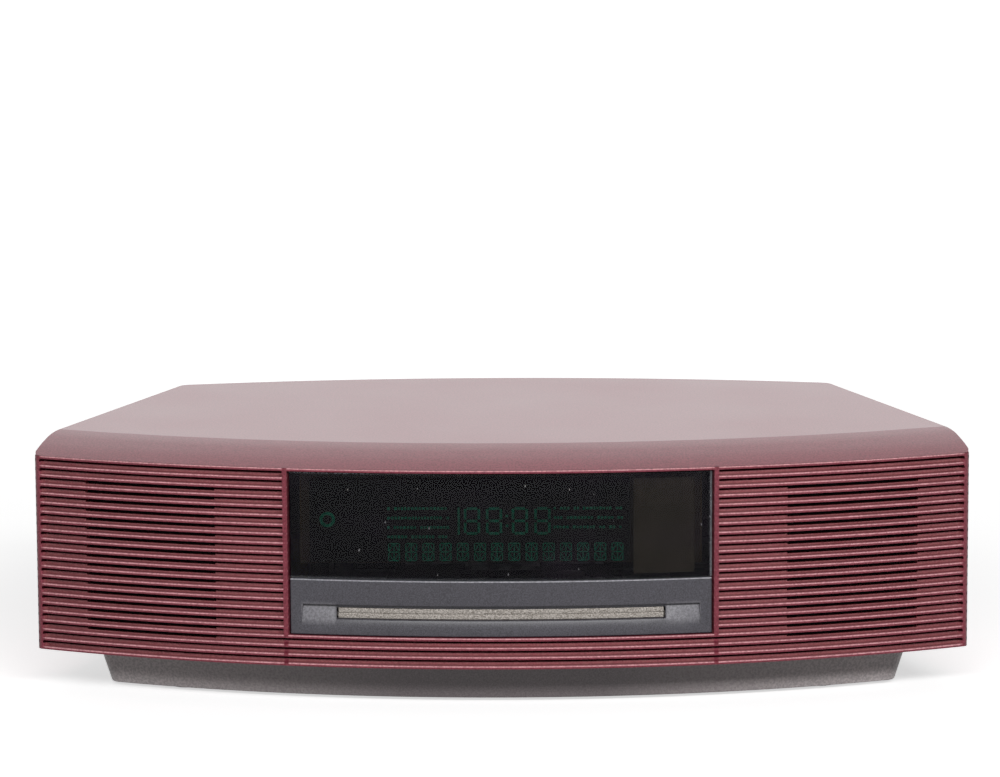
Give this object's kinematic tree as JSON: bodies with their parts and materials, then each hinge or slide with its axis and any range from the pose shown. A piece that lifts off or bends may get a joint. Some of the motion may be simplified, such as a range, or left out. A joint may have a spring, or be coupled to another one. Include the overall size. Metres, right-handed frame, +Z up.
{
  "type": "tabletop cd radio",
  "caption": "Tabletop disc player and radio: wide low case with a bowed ribbed front, dark display window, felt-lined disc slot and an inset base.",
  "frame": {"origin": "on the surface it stands on, under the middle of the object's box", "axes": "+Z up, -Y is the bowed front, +X to the right as seen from the front"},
  "size_m": [0.368, 0.215, 0.1023],
  "materials": {
    "shell_burgundy": "satin",
    "lens_black": "gloss",
    "bezel_grey": "satin",
    "felt_beige": "matte",
    "plinth_grey": "satin",
    "rubber_black": "matte",
    "pan_black": "matte",
    "panel_black": "matte",
    "screw_steel": "satin",
    "display_glass": "gloss",
    "board_green": "satin",
    "part_black": "satin",
    "can_steel": "satin",
    "sink_aluminium": "satin",
    "socket_black": "satin",
    "core_steel": "matte",
    "coil_tape": "satin",
    "strap_steel": "satin",
    "duct_grey": "matte",
    "basket_steel": "satin",
    "magnet_ferrite": "matte",
    "cone_paper": "matte",
    "foam_black": "matte",
    "spider_cloth": "matte",
    "frame_zinc": "satin",
    "gear_white": "satin",
    "motor_steel": "satin",
    "deck_black": "satin",
    "rod_steel": "polished",
    "guide_white": "satin"
  },
  "bodies": {
    "case": {"top_cover": "shell_burgundy", "front_grille": "shell_burgundy", "display_window": "lens_black", "slot_bezel": "bezel_grey", "slot_felt_upper": "felt_beige", "slot_felt_lower": "felt_beige", "base_plinth": "plinth_grey", "feet": "rubber_black", "bottom_pan": "pan_black", "case_screws": "screw_steel", "rear_panel": "panel_black", "display_tube": "display_glass", "display_board": "board_green", "remote_receiver": "part_black", "main_board": "board_green", "board_parts": "part_black", "tuner_can": "can_steel", "heat_sink": "sink_aluminium", "mains_inlet": "socket_black", "antenna_socket": "socket_black", "audio_jacks": "socket_black", "link_socket": "socket_black", "transformer_core": "core_steel", "transformer_coil": "coil_tape", "transformer_strap": "strap_steel", "sound_duct": "duct_grey", "duct_lid": "duct_grey", "loader_frame": "frame_zinc", "frame_dampers": "rubber_black", "disc_guide": "guide_white", "loading_motor": "motor_steel", "clamp_pivot": "rod_steel", "speaker_gasket_left": "foam_black", "speaker_basket_left": "basket_steel", "speaker_magnet_left": "magnet_ferrite", "speaker_surround_left": "rubber_black", "speaker_spider_left": "spider_cloth", "speaker_gasket_right": "foam_black", "speaker_basket_right": "basket_steel", "speaker_magnet_right": "magnet_ferrite", "speaker_surround_right": "rubber_black", "speaker_spider_right": "spider_cloth"},
    "cone_left": {"speaker_cone_left": "cone_paper"},
    "cone_right": {"speaker_cone_right": "cone_paper"},
    "roller": {"roller_sleeves": "rubber_black", "roller_shaft": "rod_steel", "roller_gear": "gear_white"},
    "idler": {"idler_gear": "gear_white"},
    "pinion": {"motor_pinion": "gear_white"},
    "deck": {"traverse_deck": "deck_black", "sled_rods": "rod_steel", "spindle_motor": "motor_steel", "feed_motor": "motor_steel"},
    "spindle": {"turntable": "deck_black", "spindle_shaft": "rod_steel"},
    "sled": {"pickup_sled": "deck_black"},
    "feed_wheel": {"feed_gear": "gear_white"},
    "feed_drive": {"feed_pinion": "gear_white"},
    "arm": {"clamp_arm": "frame_zinc"},
    "puck": {"clamp_puck": "deck_black"}
  },
  "joints": [
    {"name": "cone_left_stroke", "type": "slide", "parent": "case", "child": "cone_left", "axis": [-0.3289, -0.9444, 0], "range_m": [-0.002, 0.002], "stiffness_N_per_m": 1200},
    {"name": "cone_right_stroke", "type": "slide", "parent": "case", "child": "cone_right", "axis": [0.3289, -0.9444, 0], "range_m": [-0.002, 0.002], "stiffness_N_per_m": 1200},
    {"name": "roller_spin", "type": "hinge", "parent": "case", "child": "roller", "pos_m": [0, -0.084, 0.0357], "axis": [1, 0, 0], "continuous": true},
    {"name": "idler_spin", "type": "hinge", "parent": "case", "child": "idler", "pos_m": [0.0696, -0.06903, 0.03306], "axis": [1, 0, 0], "continuous": true},
    {"name": "pinion_spin", "type": "hinge", "parent": "case", "child": "pinion", "pos_m": [0.0696, -0.05725, 0.02626], "axis": [1, 0, 0], "continuous": true},
    {"name": "deck_drop", "type": "hinge", "parent": "case", "child": "deck", "pos_m": [0, 0.0435, 0.03195], "axis": [1, 0, 0], "range_deg": [0, 3]},
    {"name": "spindle_spin", "type": "hinge", "parent": "deck", "child": "spindle", "pos_m": [0, -0.028, 0.0393], "axis": [0, 0, 1], "continuous": true},
    {"name": "sled_travel", "type": "slide", "parent": "deck", "child": "sled", "axis": [0, 1, 0], "range_m": [0, 0.034]},
    {"name": "feed_wheel_turn", "type": "hinge", "parent": "deck", "child": "feed_wheel", "pos_m": [0.0274, 0, 0.0336], "axis": [0, 0, 1], "range_deg": [-365, 0]},
    {"name": "feed_drive_turn", "type": "hinge", "parent": "deck", "child": "feed_drive", "pos_m": [0.0389, 0, 0.0325], "axis": [0, 0, 1], "range_deg": [0, 1310]},
    {"name": "arm_lift", "type": "hinge", "parent": "case", "child": "arm", "pos_m": [0, 0.044, 0.0465], "axis": [1, 0, 0], "range_deg": [-5.1, 0]},
    {"name": "puck_spin", "type": "hinge", "parent": "arm", "child": "puck", "pos_m": [0, -0.028, 0.0442], "axis": [0, 0, 1], "continuous": true}
  ],
  "couplings": [
    {"joint": "idler_spin", "follows": "roller_spin", "ratio": -0.58333},
    {"joint": "pinion_spin", "follows": "roller_spin", "ratio": 1.4},
    {"joint": "arm_lift", "follows": "deck_drop", "ratio": -1.6667},
    {"joint": "feed_wheel_turn", "follows": "sled_travel", "rad_per_m": -185.19},
    {"joint": "feed_drive_turn", "follows": "sled_travel", "rad_per_m": 666.67},
    {"joint": "puck_spin", "follows": "spindle_spin", "ratio": 1}
  ]
}
